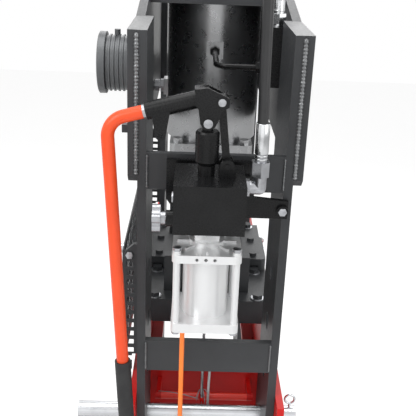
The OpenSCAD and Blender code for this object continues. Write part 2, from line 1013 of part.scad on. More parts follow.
post_rf();
post_rr();
post_lf();
post_lr();
bar_r1();
bar_r2();
bar_r3();
bar_r4();
bar_l1();
bar_l2();
bar_l3();
bar_l4();
foot_r();
foot_l();
tie_front();
tie_rear();
head_front();
head_rear();
head_seat();
cylinder_tube();  // cylinder
cyl_flange();
ram();
gauge_body();
gauge_lens();
gauge_needle();
gauge_line();
pump_bracket();
pump_block();
plunger_housing();
motor_head();
motor_tube();
motor_base();
hose_elbow();
hyd_hose();
hose_ferrule();
port_block();
air_hose();
air_coil();
air_plug();
plunger();
rocker();
handle();
grip();
link();
release_knob();
bed_front();
bed_rear();
bed_end_r();
bed_end_l();
table();
press_plate();
vee_r();
vee_l();
pin_r_bar();
pin_l_bar();
guard();
guard_side_r();
guard_side_l();
lift_rope();
rope_bar();
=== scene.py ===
"""Looks for the shop press: materials, hoses, rope, welds, dial, light and camera."""

import json
import logging
import math
from dataclasses import dataclass
from enum import Enum
from typing import Callable, Sequence

import bpy
from mathutils import Matrix, Vector


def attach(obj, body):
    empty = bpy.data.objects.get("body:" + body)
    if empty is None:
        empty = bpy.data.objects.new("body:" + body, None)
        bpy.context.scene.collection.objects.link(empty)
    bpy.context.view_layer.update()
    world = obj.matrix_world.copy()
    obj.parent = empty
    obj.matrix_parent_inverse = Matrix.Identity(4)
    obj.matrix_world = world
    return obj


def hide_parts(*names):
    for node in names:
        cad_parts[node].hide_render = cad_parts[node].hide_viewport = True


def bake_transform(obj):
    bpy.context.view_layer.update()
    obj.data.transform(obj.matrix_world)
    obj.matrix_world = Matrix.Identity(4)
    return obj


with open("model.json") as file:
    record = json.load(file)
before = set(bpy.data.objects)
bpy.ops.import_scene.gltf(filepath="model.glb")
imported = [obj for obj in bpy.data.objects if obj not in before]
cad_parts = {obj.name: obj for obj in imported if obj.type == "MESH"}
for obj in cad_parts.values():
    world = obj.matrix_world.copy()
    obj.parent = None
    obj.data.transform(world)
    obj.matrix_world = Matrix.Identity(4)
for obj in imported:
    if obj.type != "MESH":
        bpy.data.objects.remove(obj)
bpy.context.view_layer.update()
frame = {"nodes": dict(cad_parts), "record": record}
log = logging.getLogger("press")

Point = tuple[float, float, float]
MM_PER_M = 1000.0


class Axis(Enum):
    """The axis that a round piece stands along."""

    X = "X"
    Y = "Y"
    Z = "Z"


def mm(x: float, y: float, z: float) -> Vector:
    """Returns a point in metres from millimetres."""
    return Vector((x, y, z)) / MM_PER_M


# Materials.


@dataclass(frozen=True)
class Finish:
    """What a surface is made of and how worn it looks.

    Args:
        base: main colour, linear RGB.
        dark: colour of the patches and specks.
        rough: mean roughness.
        metal: 0 for paint and plastic, 1 for bare metal.
        coat: clear coat weight.
        spec: share of the specular reflection.
        patch: size of the patches, per metre.
        grain: size of the fine grain, per metre.
        bump: depth of the fine grain.
        stretch: scale of the grain along X, Y and Z, for brushed metal.
        mix: how much of the dark colour shows.
    """

    base: Point
    dark: Point
    rough: float = 0.45
    metal: float = 0.0
    coat: float = 0.0
    patch: float = 9.0
    grain: float = 420.0
    bump: float = 0.12
    stretch: Point = (1.0, 1.0, 1.0)
    mix: float = 0.5
    spec: float = 0.5


class GroupMaker:
    """Builds the two shader groups that all finishes share."""

    @staticmethod
    def _group(
        name: str, inputs: Sequence[tuple[str, str]], outputs: Sequence[tuple[str, str]],
    ) -> tuple[bpy.types.NodeTree, bpy.types.Node, bpy.types.Node]:
        """Returns an empty group with its input and output nodes."""
        tree = bpy.data.node_groups.new(name, "ShaderNodeTree")
        for label, kind in inputs:
            tree.interface.new_socket(label, in_out="INPUT", socket_type=kind)
        for label, kind in outputs:
            tree.interface.new_socket(label, in_out="OUTPUT", socket_type=kind)
        return tree, tree.nodes.new("NodeGroupInput"), tree.nodes.new("NodeGroupOutput")

    @classmethod
    def mottle(cls) -> bpy.types.NodeTree:
        """Returns a group that lays soft patches and specks of a second colour."""
        tree, gin, gout = cls._group(
            "mottle",
            [("Vector", "NodeSocketVector"), ("Scale", "NodeSocketFloat"), ("Mix", "NodeSocketFloat"),
             ("Base", "NodeSocketColor"), ("Dark", "NodeSocketColor")],
            [("Color", "NodeSocketColor"), ("Fac", "NodeSocketFloat")],
        )
        noise = tree.nodes.new("ShaderNodeTexNoise")
        noise.inputs["Detail"].default_value = 6.0
        noise.inputs["Roughness"].default_value = 0.62
        ramp = tree.nodes.new("ShaderNodeMapRange")
        ramp.inputs["From Min"].default_value = 0.38
        ramp.inputs["From Max"].default_value = 0.72
        scaled = tree.nodes.new("ShaderNodeMath")
        scaled.operation = "MULTIPLY"
        mix = tree.nodes.new("ShaderNodeMix")
        mix.data_type = "RGBA"
        links = tree.links
        links.new(gin.outputs["Vector"], noise.inputs["Vector"])
        links.new(gin.outputs["Scale"], noise.inputs["Scale"])
        links.new(noise.outputs["Fac"], ramp.inputs["Value"])
        links.new(ramp.outputs["Result"], scaled.inputs[0])
        links.new(gin.outputs["Mix"], scaled.inputs[1])
        links.new(scaled.outputs[0], mix.inputs["Factor"])
        links.new(gin.outputs["Base"], mix.inputs["A"])
        links.new(gin.outputs["Dark"], mix.inputs["B"])
        links.new(mix.outputs["Result"], gout.inputs["Color"])
        links.new(noise.outputs["Fac"], gout.inputs["Fac"])
        return tree

    @classmethod
    def grain(cls) -> bpy.types.NodeTree:
        """Returns a group that gives fine bump and a roughness that varies with it."""
        tree, gin, gout = cls._group(
            "grain",
            [("Vector", "NodeSocketVector"), ("Scale", "NodeSocketFloat"), ("Depth", "NodeSocketFloat"),
             ("Rough", "NodeSocketFloat"), ("Stretch", "NodeSocketVector")],
            [("Normal", "NodeSocketVector"), ("Rough", "NodeSocketFloat")],
        )
        scale = tree.nodes.new("ShaderNodeVectorMath")
        scale.operation = "MULTIPLY"
        noise = tree.nodes.new("ShaderNodeTexNoise")
        noise.inputs["Detail"].default_value = 4.0
        bump = tree.nodes.new("ShaderNodeBump")
        bump.inputs["Distance"].default_value = 0.0006
        spread = tree.nodes.new("ShaderNodeMapRange")
        spread.inputs["To Min"].default_value = -0.09
        spread.inputs["To Max"].default_value = 0.09
        add = tree.nodes.new("ShaderNodeMath")
        add.operation = "ADD"
        links = tree.links
        links.new(gin.outputs["Vector"], scale.inputs[0])
        links.new(gin.outputs["Stretch"], scale.inputs[1])
        links.new(scale.outputs[0], noise.inputs["Vector"])
        links.new(gin.outputs["Scale"], noise.inputs["Scale"])
        links.new(noise.outputs["Fac"], bump.inputs["Height"])
        links.new(gin.outputs["Depth"], bump.inputs["Strength"])
        links.new(noise.outputs["Fac"], spread.inputs["Value"])
        links.new(spread.outputs["Result"], add.inputs[0])
        links.new(gin.outputs["Rough"], add.inputs[1])
        links.new(bump.outputs["Normal"], gout.inputs["Normal"])
        links.new(add.outputs[0], gout.inputs["Rough"])
        return tree


class Palette:
    """Makes each finish once and hands out its material by slot name."""

    FINISHES: dict[str, Finish] = {
        "frame_grey": Finish(
            base=(0.046, 0.048, 0.051), dark=(0.02, 0.021, 0.023),
            rough=0.4, patch=6, grain=260, bump=0.2, mix=0.6, spec=0.3,
        ),
        "cylinder_steel": Finish(
            base=(0.43, 0.435, 0.443), dark=(0.36, 0.364, 0.37),
            rough=0.29, metal=1.0, patch=5, grain=60, bump=0.006, mix=0.25,
        ),
        "rod_chrome": Finish(
            base=(0.62, 0.63, 0.65), dark=(0.42, 0.43, 0.45),
            rough=0.14, metal=1.0, patch=12, grain=500, bump=0.03,
        ),
        "gauge_grey": Finish(
            base=(0.11, 0.115, 0.12), dark=(0.055, 0.058, 0.062),
            rough=0.38, metal=0.3, coat=0.1, patch=20, grain=500,
        ),
        "needle_black": Finish(
            base=(0.012, 0.012, 0.012), dark=(0.03, 0.03, 0.03),
            rough=0.5, patch=90, grain=600, bump=0.1,
        ),
        "fitting_steel": Finish(
            base=(0.44, 0.45, 0.47), dark=(0.2, 0.2, 0.21),
            rough=0.3, metal=1.0, patch=40, grain=600, bump=0.06,
        ),
        "pump_black": Finish(
            base=(0.0055, 0.0057, 0.006), dark=(0.014, 0.014, 0.015),
            rough=0.28, patch=22, grain=380, bump=0.2, mix=0.45, spec=0.22,
        ),
        "motor_alu": Finish(
            base=(0.74, 0.745, 0.75), dark=(0.66, 0.665, 0.67),
            rough=0.32, metal=0.5, grain=180, bump=0.006, mix=0.3,
        ),
        "hose_rubber": Finish(
            base=(0.012, 0.0122, 0.013), dark=(0.03, 0.03, 0.032),
            rough=0.35, patch=30, grain=900, bump=0.1,
        ),
        "ferrule_chrome": Finish(
            base=(0.68, 0.69, 0.7), dark=(0.4, 0.41, 0.42),
            rough=0.17, metal=1.0, patch=40, grain=500, bump=0.04,
        ),
        "air_orange": Finish(
            base=(1.0, 0.23, 0.018), dark=(0.75, 0.13, 0.01),
            rough=0.34, coat=0.2, patch=18, grain=500, bump=0.05, mix=0.4,
        ),
        "handle_red": Finish(
            base=(0.86, 0.085, 0.02), dark=(0.66, 0.055, 0.014),
            rough=0.34, coat=0.05, patch=15, mix=0.4, spec=0.35,
        ),
        "grip_rubber": Finish(
            base=(0.02, 0.02, 0.021), dark=(0.045, 0.045, 0.046),
            rough=0.6, patch=40, grain=700, bump=0.35, spec=0.35,
        ),
        "bed_red": Finish(
            base=(0.62, 0.01, 0.008), dark=(0.38, 0.006, 0.005),
            rough=0.36, patch=8, grain=300, bump=0.2, spec=0.25,
        ),
        # Painted light: the bails' red is brighter than the bed's red, to stand in for the light from above
        # that falls on them.
        "bail_red_painted_light": Finish(
            base=(0.9, 0.03, 0.012), dark=(0.7, 0.02, 0.008),
            rough=0.32, coat=0.2, patch=20, grain=400, bump=0.06, mix=0.4,
        ),
        "table_dark": Finish(
            base=(0.04, 0.042, 0.045), dark=(0.018, 0.019, 0.02),
            rough=0.42, metal=0.1, patch=12, grain=300, bump=0.25, mix=0.7, spec=0.3,
        ),
        "pin_steel": Finish(
            base=(0.6, 0.61, 0.63), dark=(0.36, 0.37, 0.39),
            rough=0.24, metal=1.0, patch=14, bump=0.06, stretch=(4.0, 0.1, 4.0),
        ),
        "rope_wire": Finish(
            base=(0.33, 0.34, 0.35), dark=(0.12, 0.12, 0.125),
            rough=0.4, metal=0.9, patch=90, grain=900, bump=0.2,
        ),
        "dial_white": Finish(
            base=(0.82, 0.82, 0.8), dark=(0.7, 0.7, 0.67),
            rough=0.5, patch=30, grain=500, bump=0.03, mix=0.4,
        ),
        "weld_grey": Finish(
            base=(0.2, 0.205, 0.21), dark=(0.08, 0.082, 0.086),
            rough=0.3, metal=0.7, patch=60, grain=260, bump=0.5, mix=0.6,
        ),
        "rope_pale": Finish(
            base=(0.62, 0.63, 0.64), dark=(0.36, 0.36, 0.37),
            rough=0.7, patch=90, grain=500, bump=0.5,
        ),
    }

    GLASS = Finish(
        base=(0.95, 0.97, 0.98), dark=(0.9, 0.92, 0.93),
        rough=0.1, grain=60, bump=0.01,
    )

    COAT_ROUGH = 0.25
    GLASS_IOR = 1.45

    def __init__(self) -> None:
        self._mottle = GroupMaker.mottle()
        self._grain = GroupMaker.grain()
        self._made: dict[str, bpy.types.Material] = {}

    def get(self, slot: str) -> bpy.types.Material:
        """Returns the material of a slot, made on first use."""
        if slot not in self._made:
            if slot == "lens":
                self._made[slot] = self._glass()
            else:
                self._made[slot] = self._solid(slot, self.FINISHES[slot])
        return self._made[slot]

    def _solid(self, name: str, f: Finish) -> bpy.types.Material:
        """Returns the material of a finish."""
        mat = bpy.data.materials.new("fin_" + name)
        mat.use_nodes = True
        nodes = mat.node_tree.nodes
        links = mat.node_tree.links
        shader = nodes["Principled BSDF"]
        where = nodes.new("ShaderNodeTexCoord")
        mottle = nodes.new("ShaderNodeGroup")
        mottle.node_tree = self._mottle
        mottle.inputs["Scale"].default_value = f.patch
        mottle.inputs["Mix"].default_value = f.mix
        mottle.inputs["Base"].default_value = (*f.base, 1)
        mottle.inputs["Dark"].default_value = (*f.dark, 1)
        grain = nodes.new("ShaderNodeGroup")
        grain.node_tree = self._grain
        grain.inputs["Scale"].default_value = f.grain
        grain.inputs["Depth"].default_value = f.bump
        grain.inputs["Rough"].default_value = f.rough
        grain.inputs["Stretch"].default_value = f.stretch
        shader.inputs["Metallic"].default_value = f.metal
        shader.inputs["Specular IOR Level"].default_value = f.spec
        shader.inputs["Coat Weight"].default_value = f.coat
        shader.inputs["Coat Roughness"].default_value = self.COAT_ROUGH
        links.new(where.outputs["Object"], mottle.inputs["Vector"])
        links.new(where.outputs["Object"], grain.inputs["Vector"])
        links.new(mottle.outputs["Color"], shader.inputs["Base Color"])
        links.new(grain.outputs["Rough"], shader.inputs["Roughness"])
        links.new(grain.outputs["Normal"], shader.inputs["Normal"])
        return mat

    def _glass(self) -> bpy.types.Material:
        """Returns the gauge lens's clear material."""
        mat = self._solid("lens", self.GLASS)
        shader = mat.node_tree.nodes["Principled BSDF"]
        shader.inputs["Transmission Weight"].default_value = 1.0
        shader.inputs["IOR"].default_value = self.GLASS_IOR
        return mat


PALETTE = Palette()


# Modelling.


class Maker:
    """Makes pieces with Blender's own operators. Each stands at the origin."""

    @staticmethod
    def start() -> None:
        """Clears the selection."""
        bpy.ops.object.select_all(action="DESELECT")

    @staticmethod
    def done(
        obj: bpy.types.Object, name: str, slot: str, body: str, smooth: float | None = 40.0,
    ) -> bpy.types.Object:
        """Names, paints and seats a piece.

        Args:
            obj: the piece, with its place in its mesh.
            name: the piece's name.
            slot: the finish and record slot.
            body: the CAD body that carries it.
            smooth: smoothing angle in degrees, or None.

        Returns:
            The piece.
        """
        obj.name = name
        obj.data.name = name
        obj.data.materials.clear()
        obj.data.materials.append(PALETTE.get(slot))
        Maker.start()
        obj.select_set(True)
        bpy.context.view_layer.objects.active = obj
        bpy.ops.object.transform_apply(location=True, rotation=True, scale=True)
        if smooth is not None:
            bpy.ops.object.shade_smooth_by_angle(angle=math.radians(smooth))
        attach(obj, body)
        return obj

    @staticmethod
    def tube(
        points: Sequence[Vector], radius: float, sides: int, radii: Sequence[float] | None = None,
    ) -> bpy.types.Object:
        """Returns a mesh tube along points, made from a curve."""
        data = bpy.data.curves.new("route", "CURVE")
        data.dimensions = "3D"
        data.bevel_depth = radius
        data.bevel_resolution = sides
        data.use_fill_caps = True
        spline = data.splines.new("POLY")
        spline.points.add(len(points) - 1)
        for i, p in enumerate(points):
            spline.points[i].co = (*p, 1)
            spline.points[i].radius = radii[i] if radii else 1.0
        obj = bpy.data.objects.new("route", data)
        bpy.context.collection.objects.link(obj)
        Maker.start()
        obj.select_set(True)
        bpy.context.view_layer.objects.active = obj
        bpy.ops.object.convert(target="MESH")
        return bpy.context.view_layer.objects.active

    @staticmethod
    def round(
        center: Vector, axis: Axis, radius: float, depth: float, sides: int = 48, bevel: float = 0.0004,
    ) -> bpy.types.Object:
        """Returns a bevelled disc or hexagon centred on a point."""
        Maker.start()
        turn = {Axis.X: (0, math.pi / 2, 0), Axis.Y: (math.pi / 2, 0, 0), Axis.Z: (0, 0, 0)}[axis]
        bpy.ops.mesh.primitive_cylinder_add(
            vertices=sides, radius=radius, depth=depth, location=center, rotation=turn,
        )
        obj = bpy.context.view_layer.objects.active
        if bevel:
            mod = obj.modifiers.new("edge", "BEVEL")
            mod.width = bevel
            mod.segments = 2
            mod.limit_method = "ANGLE"
            bpy.ops.object.modifier_apply(modifier=mod.name)
        return obj

    @staticmethod
    def join(objects: Sequence[bpy.types.Object]) -> bpy.types.Object:
        """Joins objects into the first and returns it."""
        Maker.start()
        for obj in objects:
            obj.select_set(True)
        bpy.context.view_layer.objects.active = objects[0]
        bpy.ops.object.join()
        return bpy.context.view_layer.objects.active


def smooth_line(points: Sequence[Vector], steps: int) -> list[Vector]:
    """Returns a smooth line through points, as a Catmull-Rom curve."""
    ends = [points[0] * 2 - points[1], *points, points[-1] * 2 - points[-2]]
    line: list[Vector] = []
    for a, b, c, d in zip(ends, ends[1:], ends[2:], ends[3:]):
        for k in range(steps):
            t = k / steps
            square = (2 * a - 5 * b + 4 * c - d) * t * t
            cube = (3 * b - a - 3 * c + d) * t ** 3
            line.append(0.5 * (2 * b + (c - a) * t + square + cube))
    line.append(points[-1].copy())
    return line


# Sub-assemblies.


@dataclass(frozen=True)
class AirLine:
    """The orange air hose: down to the floor and into its coil, as one cord.

    Args:
        radius: the hose's own radius, like all sizes here in millimetres.
        x: where the hose hangs, across.
        y: where the hose hangs, in depth.
        top: height of its upper end.
        straight: height at which the even steps down start.
        step: height of one step down.
        steps: number of steps down.
        bend: radius of the bend at the floor.
        coil_start: depth at which the hose meets its coil.
        coil_y: depth of the coil's centre.
        coil_radius: outer radius of the coil.
        pitch: distance from one turn to the next.
        turns: number of turns in both layers together.
        turn_points: number of points in one turn.
        climb: share of a turn before and after the middle that changes the layer.
        floor_gap: gap under the hose.
        layer_gap: gap between the layers.
    """

    radius: float = 4.0
    x: float = 500.0
    y: float = -44.0
    top: float = 1127.5
    straight: float = 1119.0
    step: float = 53.0
    steps: int = 20
    bend: float = 40.0
    coil_start: float = -100.0
    coil_y: float = -108.0
    coil_radius: float = 60.0
    pitch: float = 8.9
    turns: float = 6.5
    turn_points: int = 48
    climb: float = 0.25
    floor_gap: float = 0.1
    layer_gap: float = 0.7

    def route(self) -> list[Vector]:
        """Returns the hose's centre line in metres."""
        floor = self.radius + self.floor_gap
        line = [mm(self.x, self.y, self.top), mm(self.x, self.y, self.straight)]
        for k in range(1, self.steps + 1):
            line.append(mm(self.x, self.y, self.straight - k * self.step))
        for k in range(10):
            a = math.radians(k * 10)
            y = self.y - self.bend + self.bend * math.cos(a)
            line.append(mm(self.x, y, floor + self.bend - self.bend * math.sin(a)))
        line.append(mm(self.x, self.coil_start, floor))
        layer = 2 * self.radius + self.layer_gap
        half = self.turns / 2
        for k in range(int(self.turn_points * self.turns) + 1):
            t = k / self.turn_points
            r = self.coil_radius - self.pitch * (t if t < half else self.turns - t)
            a = math.pi + 2 * math.pi * t
            z = floor + layer * min(1, max(0, (t - half + self.climb) / (2 * self.climb)))
            x = self.x + self.coil_radius + r * math.cos(a)
            line.append(mm(x, self.coil_y + r * math.sin(a), z))
        line.append(mm(self.x + 2 * self.coil_radius, self.coil_start, floor + layer))
        return line

    def build(self) -> None:
        line = self.route()
        tube = Maker.tube(line, self.radius / MM_PER_M, 3)
        hose = Maker.done(tube, "air_line", "air_orange", "frame", 60)
        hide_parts("air_hose", "air_coil")


@dataclass(frozen=True)
class PressureHose:
    """The black hydraulic hose in its arch from the pump to the port block.

    Args:
        radius: the hose's own radius, like all sizes here in millimetres.
        start: its end at the pump.
        end: its end at the port block.
        rise: height at which the even steps up start.
        step: height of one step up.
        arch_y: depth at which the arch starts.
        arch_z: height of the arch's centre.
        lead: length of the straight end at the port block.
        sleeve: centre of the long crimped sleeve.
        crimps: centres of the crimp rings.

    The constants give the radius and length of a sleeve and a ring in metres.
    """

    SLEEVE = (0.0098, 0.044)
    CRIMP = (0.0094, 0.0022)

    radius: float = 7.75
    start: Point = (515.0, 61.0, 1397.0)
    end: Point = (258.0, 100.0, 1590.0)
    rise: float = 1410.0
    step: float = 25.0
    arch_y: float = 57.0
    arch_z: float = 1612.0
    lead: float = 10.0
    sleeve: Point = (515.0, 61.0, 1419.0)
    crimps: tuple[Point, ...] = (
        (515.0, 61.0, 1389.0), (515.0, 61.0, 1394.0), (258.0, 100.0, 1566.0), (258.0, 100.0, 1584.0),
    )

    def route(self) -> list[Vector]:
        """Returns the hose's centre line in metres."""
        x, y, z = self.start
        end_x, end_y, end_z = self.end
        r = (x - end_x) / 2
        c = (x + end_x) / 2
        line = [mm(x, y, z), mm(x, y, self.rise)]
        line += [mm(x, y - k / 2, self.rise + k * self.step) for k in range(1, 9)]
        for k in range(1, 24):
            a = math.radians(k * 7.5)
            depth = self.arch_y + (end_y - self.arch_y) * (1 - math.cos(a)) / 2
            line.append(mm(c + r * math.cos(a), depth, self.arch_z + r * math.sin(a)))
        return line + [mm(end_x, end_y, end_z + self.lead), mm(end_x, end_y, end_z)]

    def build(self) -> None:
        """Makes the smooth hose, its sleeve and four crimp rings."""
        tube = Maker.tube(smooth_line(self.route(), 4), self.radius / MM_PER_M, 6)
        hose = Maker.done(tube, "pressure_hose", "hose_rubber", "frame", 60)
        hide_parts("hyd_hose")
        sleeve = Maker.round(mm(*self.sleeve), Axis.Z, *self.SLEEVE)
        Maker.done(sleeve, "crimp_sleeve", "ferrule_chrome", "frame")
        for k, at in enumerate(self.crimps):
            ring = Maker.round(mm(*at), Axis.Z, *self.CRIMP)
            Maker.done(ring, f"crimp_{k}", "ferrule_chrome", "frame")


@dataclass(frozen=True)
class HandleBar:
    """The painted handle as a smooth bent bar, with rings on its grip.

    Args:
        mouth: the socket's mouth, like all sizes here in millimetres.
        tilt: the socket's fall in degrees.
        bend: radius of the bend.
        angle: the bend's angle in degrees.
        elbow: distance from the mouth to the start of the bend.
        ring_ends: where the first grip ring starts and ends along the long leg.
        ring_step: distance from one ring to the next.
        rings: number of rings.

    The constants give radii in metres, and places along the socket and the long leg in millimetres.
    """

    BAR_RADIUS, RING_RADIUS, COLLAR_RADIUS = 0.0095, 0.01275, 0.0106
    ALONG_SOCKET = (-62, 0, 30)
    ALONG_LEG = (6, 120, 240, 360, 477)
    COLLAR = (-1, 4)

    mouth: Point = (516.0, -102.5, 1452.4)
    tilt: float = 15.2
    bend: float = 30.0
    angle: float = 77.75
    elbow: float = 32.2
    ring_ends: tuple[float, float] = (374.0, 376.4)
    ring_step: float = 7.4
    rings: int = 14

    def at(self, along: float, across: float) -> Vector:
        """Returns a point in metres from its place along and across the socket."""
        c = math.cos(math.radians(self.tilt))
        s = math.sin(math.radians(self.tilt))
        x, y, z = self.mouth
        return mm(x, y - along * c - across * s, z - along * s + across * c)

    def leg(self, d: float) -> Vector:
        """Returns a point at d along the long leg."""
        c = math.cos(math.radians(self.angle))
        s = math.sin(math.radians(self.angle))
        return self.at(self.elbow + self.bend * s + d * c, -self.bend + self.bend * c - d * s)

    def build(self) -> None:
        """Makes the bar, the grip's rings and the collar at the socket."""
        line = [self.at(d, 0) for d in self.ALONG_SOCKET]
        for k in range(25):
            a = math.radians(90 - self.angle * k / 24)
            line.append(self.at(self.elbow + self.bend * math.cos(a), -self.bend + self.bend * math.sin(a)))
        line += [self.leg(d) for d in self.ALONG_LEG]
        bar = Maker.done(Maker.tube(line, self.BAR_RADIUS, 7), "handle_bar", "handle_red", "rocker", 50)
        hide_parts("handle")
        rings = []
        for k in range(self.rings):
            ends = [self.leg(d + k * self.ring_step) for d in self.ring_ends]
            rings.append(Maker.tube(ends, self.RING_RADIUS, 6))
        Maker.done(Maker.join(rings), "grip_rings", "grip_rubber", "rocker", 40)
        collar = Maker.tube([self.at(d, 0) for d in self.COLLAR], self.COLLAR_RADIUS, 6)
        Maker.done(collar, "bar_collar", "fitting_steel", "rocker", 40)


class WireRope:
    """The stranded lifting rope, its loop and frayed tails, a hanging line and a thin wire.

    The radii of the tubes are in metres, and all other sizes in millimetres.
    """

    STRAND_RADIUS, LOOP_RADIUS, TAIL_RADIUS = 0.00155, 0.0024, 0.0006
    DROP_RADIUS, WIRE_RADIUS = 0.0025, 0.0008
    STRANDS, TAILS = 3, 5

    X, Y = 338.0, -5.0
    TOP, LOW = 1322.0, 858.0
    GIVE_TOP, GIVE_LOW = 1290.0, 880.0
    LAY = 1.35
    TURNS = 26
    TURN_POINTS = 8
    EYE_Z = 846.0
    EYE_WIDTH, EYE_HEIGHT = 8, 12
    TAIL_TURN = 1.3
    DROP: tuple[Point, ...] = (
        (338, -3, 932), (339, 4, 927), (339, 8, 915), (338, 7.6, 880), (338, 7, 840), (338, 6.7, 800),
        (337, 6, 772),
    )
    WIRE: tuple[Point, ...] = ((320, -88, 851), (326, -62, 853), (332, -34, 851), (336, -12, 847))

    def strand(self, phase: float) -> list[Vector]:
        """Returns one strand of the rope's lay."""
        line = []
        count = self.TURNS * self.TURN_POINTS
        for k in range(count + 1):
            t = k / count
            a = phase + 2 * math.pi * self.TURNS * t
            z = self.TOP + (self.LOW - self.TOP) * t
            line.append(mm(self.X + self.LAY * math.cos(a), self.Y + self.LAY * math.sin(a), z))
        return line

    def rope(self) -> None:
        """Makes the rope's lay from three strands as one piece, baked in place and on no body."""
        strands = []
        for k in range(self.STRANDS):
            phase = 2 * math.pi * k / self.STRANDS
            strands.append(Maker.tube(self.strand(phase), self.STRAND_RADIUS, 1))
        rope = Maker.join(strands)
        rope.name = rope.data.name = "rope_lay"
        rope.data.materials.clear()
        rope.data.materials.append(PALETTE.get("rope_wire"))
        Maker.start()
        rope.select_set(True)
        bpy.ops.object.shade_smooth_by_angle(angle=math.radians(50))
        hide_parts("lift_rope")
        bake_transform(rope)

    def tail(self, k: int) -> bpy.types.Object:
        """Returns one frayed tail."""
        a = k * self.TAIL_TURN
        points = [
            mm(self.X, self.Y, 868),
            mm(341 + k, self.Y + 6 * math.cos(a), 872),
            mm(344 + 2 * k, self.Y + 13 * math.cos(a), 862 - 3 * k),
        ]
        return Maker.tube(smooth_line(points, 4), self.TAIL_RADIUS, 1)

    def build(self) -> None:
        """Makes the rope and what hangs from it."""
        self.rope()
        loop = []
        for k in range(25):
            a = math.radians(90 + 15 * k)
            x = self.X + self.EYE_WIDTH * math.cos(a)
            loop.append(mm(x, self.Y, self.EYE_Z + self.EYE_HEIGHT * math.sin(a)))
        Maker.done(Maker.tube(loop, self.LOOP_RADIUS, 3), "rope_loop", "rope_wire", "bed", 50)
        tails = [self.tail(k) for k in range(self.TAILS)]
        Maker.done(Maker.join(tails), "rope_tails", "rope_wire", "bed", 50)
        drop = Maker.tube(smooth_line([mm(*p) for p in self.DROP], 4), self.DROP_RADIUS, 3)
        Maker.done(drop, "rope_drop", "rope_pale", "bed", 50)
        wire = Maker.tube(smooth_line([mm(*p) for p in self.WIRE], 5), self.WIRE_RADIUS, 2)
        Maker.done(wire, "rope_wire_thin", "rope_wire", "bed", 50)


class Bails:
    """The painted bars of the two lifting bails, in a red brighter than the bed's that stands in for light
    falling on them from above: painted light. All sizes are in millimetres.
    """

    X, Z = 320, 842
    RADIUS = 7.3
    STRETCHES = ((-83, -10), (0, 83))

    def build(self) -> None:
        """Makes each bar in two lengths, with a gap for the rope's eye."""
        for side, sx in (("r", 1), ("l", -1)):
            bars = []
            for ends in self.STRETCHES:
                line = [mm(sx * self.X, y, self.Z) for y in ends]
                bars.append(Maker.tube(line, self.RADIUS / MM_PER_M, 5))
            # The bars take the brighter bail red, a painted highlight for the light from above.
            Maker.done(Maker.join(bars), f"bail_bar_{side}", "bail_red_painted_light", "bed", 50)


@dataclass(frozen=True)
class Seam:
    """One weld.

    Args:
        start: its first end, in millimetres.
        end: its other end.
        radius: the bead's mean radius.
    """

    start: Point
    end: Point
    radius: float


class Welds:
    """Weld beads where the plates of the frame meet. All sizes are in millimetres."""

    HEAD_X, BAR_X, FOOT_X, FOOT_END_X = 444, 446, 282, 443
    PLATE_Y, BAR_Y = 121.5, 105
    HEAD_Z = (1335, 1548)
    BAR_Z = (326, 655, 983, 1312)
    BAR_SEAM = (3, 55)
    FOOT_Z = 13.5
    HEAD_BEAD, BAR_BEAD, FOOT_BEAD = 3.8, 1.6, 2.6
    SPACING = 1.6
    END_SCALE = 0.5
    WAVES = ((0.18, 1.9), (0.1, 0.63))

    def seams(self) -> list[Seam]:
        """Returns all the welds: at the head plates, the crossbars and the feet."""
        seams = []
        for sx in (1, -1):
            for sy in (1, -1):
                ends = [(sx * self.HEAD_X, sy * self.PLATE_Y, z) for z in self.HEAD_Z]
                seams.append(Seam(*ends, self.HEAD_BEAD))
            for sy in (1, -1):
                for z in self.BAR_Z:
                    ends = [(sx * self.BAR_X, sy * self.BAR_Y, z + up) for up in self.BAR_SEAM]
                    seams.append(Seam(*ends, self.BAR_BEAD))
            for sy in (1, -1):
                ends = [(sx * x, sy * self.PLATE_Y, self.FOOT_Z) for x in (self.FOOT_X, self.FOOT_END_X)]
                seams.append(Seam(*ends, self.FOOT_BEAD))
        return seams

    def bead(self, seam: Seam) -> bpy.types.Object:
        """Returns a rippled bead along a weld."""
        start = mm(*seam.start)
        end = mm(*seam.end)
        count = max(6, int((end - start).length * MM_PER_M / self.SPACING))
        points = [start.lerp(end, k / count) for k in range(count + 1)]
        (big, often), (small, seldom) = self.WAVES
        radii = [1.0 + big * math.sin(k * often) + small * math.sin(k * seldom) for k in range(count + 1)]
        radii[0] = radii[-1] = self.END_SCALE
        return Maker.tube(points, seam.radius / MM_PER_M, 2, radii)

    def build(self) -> None:
        """Makes all the beads as one piece."""
        beads = [self.bead(seam) for seam in self.seams()]
        Maker.done(Maker.join(beads), "weld_beads", "weld_grey", "frame", 60)


